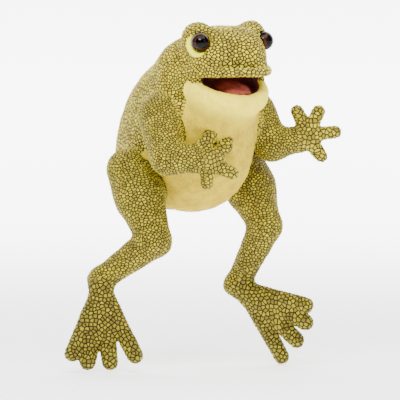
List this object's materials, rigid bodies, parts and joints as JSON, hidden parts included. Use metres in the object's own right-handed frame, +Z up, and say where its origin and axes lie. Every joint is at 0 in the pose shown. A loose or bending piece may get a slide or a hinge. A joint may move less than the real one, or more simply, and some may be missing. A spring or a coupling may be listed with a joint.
{
  "type": "hand puppet",
  "caption": "Plush frog hand puppet with a mouth that opens, glossy eyes, a lined hand sleeve, and stuffed arms and legs that swing.",
  "frame": {"origin": "centre of the hand opening at the lower back", "axes": "+Z up, -Y the way the frog faces, +X the frog's left"},
  "size_m": [0.2851, 0.2185, 0.3474],
  "materials": {
    "moss_plush": "short plush printed and embossed with a scale pattern",
    "cream_plush": "soft short-pile plush",
    "yellow_plush": "soft short-pile plush",
    "sleeve_cloth": "smooth woven lining",
    "hem_binding": "woven binding tape, stitched",
    "mouth_cloth": "smooth dark woven lining",
    "tongue_cloth": "soft short-pile plush",
    "board": "matte stiffener",
    "stuffing": "fluffy polyester fibre",
    "eye_gloss": "high gloss",
    "washer_plastic": "matte"
  },
  "bodies": {
    "torso": {"back_skin": "moss_plush", "belly_panel": "cream_plush", "body_stuffing": "stuffing", "hand_sleeve": "sleeve_cloth", "sleeve_hem": "hem_binding"},
    "head": {"head_skin": "moss_plush", "upper_lip": "moss_plush", "head_stuffing": "stuffing", "finger_pocket": "sleeve_cloth", "palate_board": "board", "palate_lining": "mouth_cloth", "eyelid_hood_right": "moss_plush", "eyelid_hood_left": "moss_plush", "eye_patch_right": "yellow_plush", "eye_patch_left": "yellow_plush", "eye_right": "eye_gloss", "eye_left": "eye_gloss", "eye_washer_right": "washer_plastic", "eye_washer_left": "washer_plastic"},
    "jaw": {"jaw_lining": "mouth_cloth", "jaw_board": "board", "tongue": "tongue_cloth", "lower_lip": "yellow_plush", "chin_skin": "cream_plush", "chin_stuffing": "stuffing", "thumb_pocket": "sleeve_cloth"},
    "upper_arm_right": {"upper_arm_skin_right": "moss_plush", "upper_arm_stuffing_right": "stuffing"},
    "forearm_right": {"forearm_skin_right": "moss_plush", "forearm_stuffing_right": "stuffing"},
    "hand_right": {"hand_back_right": "moss_plush", "hand_palm_right": "moss_plush", "hand_stuffing_right": "stuffing"},
    "upper_arm_left": {"upper_arm_skin_left": "moss_plush", "upper_arm_stuffing_left": "stuffing"},
    "forearm_left": {"forearm_skin_left": "moss_plush", "forearm_stuffing_left": "stuffing"},
    "hand_left": {"hand_back_left": "moss_plush", "hand_palm_left": "moss_plush", "hand_stuffing_left": "stuffing"},
    "thigh_right": {"thigh_skin_right": "moss_plush", "thigh_stuffing_right": "stuffing"},
    "shin_right": {"shin_skin_right": "moss_plush", "shin_stuffing_right": "stuffing"},
    "foot_right": {"foot_top_right": "moss_plush", "foot_sole_right": "moss_plush", "foot_stuffing_right": "stuffing"},
    "thigh_left": {"thigh_skin_left": "moss_plush", "thigh_stuffing_left": "stuffing"},
    "shin_left": {"shin_skin_left": "moss_plush", "shin_stuffing_left": "stuffing"},
    "foot_left": {"foot_top_left": "moss_plush", "foot_sole_left": "moss_plush", "foot_stuffing_left": "stuffing"}
  },
  "joints": [
    {"name": "head_nod", "type": "hinge", "parent": "torso", "child": "head", "pos_m": [0, -0.0994, 0.102], "axis": [1, 0, 0], "range_deg": [-12, 9], "stiffness_Nm_per_rad": 1.2, "springref_deg": -0.83},
    {"name": "jaw_hinge", "type": "hinge", "parent": "head", "child": "jaw", "pos_m": [0, -0.117, 0.108], "axis": [1, 0, 0], "range_deg": [-19, 12], "stiffness_Nm_per_rad": 0.4, "springref_deg": -0.36},
    {"name": "right_shoulder", "type": "hinge", "parent": "torso", "child": "upper_arm_right", "pos_m": [-0.056, -0.095, 0.07], "axis": [1, 0, 0], "range_deg": [-10, 4], "stiffness_Nm_per_rad": 0.5, "springref_deg": -0.39},
    {"name": "right_elbow", "type": "hinge", "parent": "upper_arm_right", "child": "forearm_right", "pos_m": [-0.066, -0.125, 0.031], "axis": [-0.3351, -0.7022, 0.6282], "range_deg": [-50, 1], "stiffness_Nm_per_rad": 0.25, "springref_deg": 0.31},
    {"name": "right_wrist", "type": "hinge", "parent": "forearm_right", "child": "hand_right", "pos_m": [-0.036, -0.142, 0.028], "axis": [-0.131, 0.163, 0.9779], "range_deg": [-16, 2], "stiffness_Nm_per_rad": 0.12, "springref_deg": -0.03},
    {"name": "left_shoulder", "type": "hinge", "parent": "torso", "child": "upper_arm_left", "pos_m": [0.056, -0.095, 0.07], "axis": [1, 0, 0], "range_deg": [-35, 14], "stiffness_Nm_per_rad": 0.5, "springref_deg": -0.13},
    {"name": "left_elbow", "type": "hinge", "parent": "upper_arm_left", "child": "forearm_left", "pos_m": [0.072, -0.103, 0.039], "axis": [-0.5135, -0.857, -0.0445], "range_deg": [-50, 16], "stiffness_Nm_per_rad": 0.25, "springref_deg": 0.32},
    {"name": "left_wrist", "type": "hinge", "parent": "forearm_left", "child": "hand_left", "pos_m": [0.095, -0.117, 0.043], "axis": [0, 0, 1], "range_deg": [-30, 30], "stiffness_Nm_per_rad": 0.12},
    {"name": "right_hip", "type": "hinge", "parent": "torso", "child": "thigh_right", "pos_m": [-0.066, -0.057, 0.015], "axis": [1, 0, 0], "range_deg": [-25, 25], "stiffness_Nm_per_rad": 1, "springref_deg": -0.43},
    {"name": "right_knee", "type": "hinge", "parent": "thigh_right", "child": "shin_right", "pos_m": [-0.066, -0.1, -0.053], "axis": [0.8726, 0.4129, -0.2609], "range_deg": [-50, 15], "stiffness_Nm_per_rad": 0.6, "springref_deg": 0.73},
    {"name": "right_ankle", "type": "hinge", "parent": "shin_right", "child": "foot_right", "pos_m": [-0.1, -0.054, -0.094], "axis": [0.8454, -0.5332, 0.031], "range_deg": [-20, 20], "stiffness_Nm_per_rad": 0.3, "springref_deg": -0.42},
    {"name": "left_hip", "type": "hinge", "parent": "torso", "child": "thigh_left", "pos_m": [0.066, -0.057, 0.015], "axis": [1, 0, 0], "range_deg": [-20, 25], "stiffness_Nm_per_rad": 1, "springref_deg": -0.64},
    {"name": "left_knee", "type": "hinge", "parent": "thigh_left", "child": "shin_left", "pos_m": [0.066, -0.101, -0.044], "axis": [0.9885, 0.1215, -0.0906], "range_deg": [-50, 15], "stiffness_Nm_per_rad": 0.6, "springref_deg": 0.16},
    {"name": "left_ankle", "type": "hinge", "parent": "shin_left", "child": "foot_left", "pos_m": [0.056, -0.065, -0.105], "axis": [-0.157, 0.5411, -0.8262], "range_deg": [-20, 20], "stiffness_Nm_per_rad": 0.3, "springref_deg": -0.1}
  ]
}
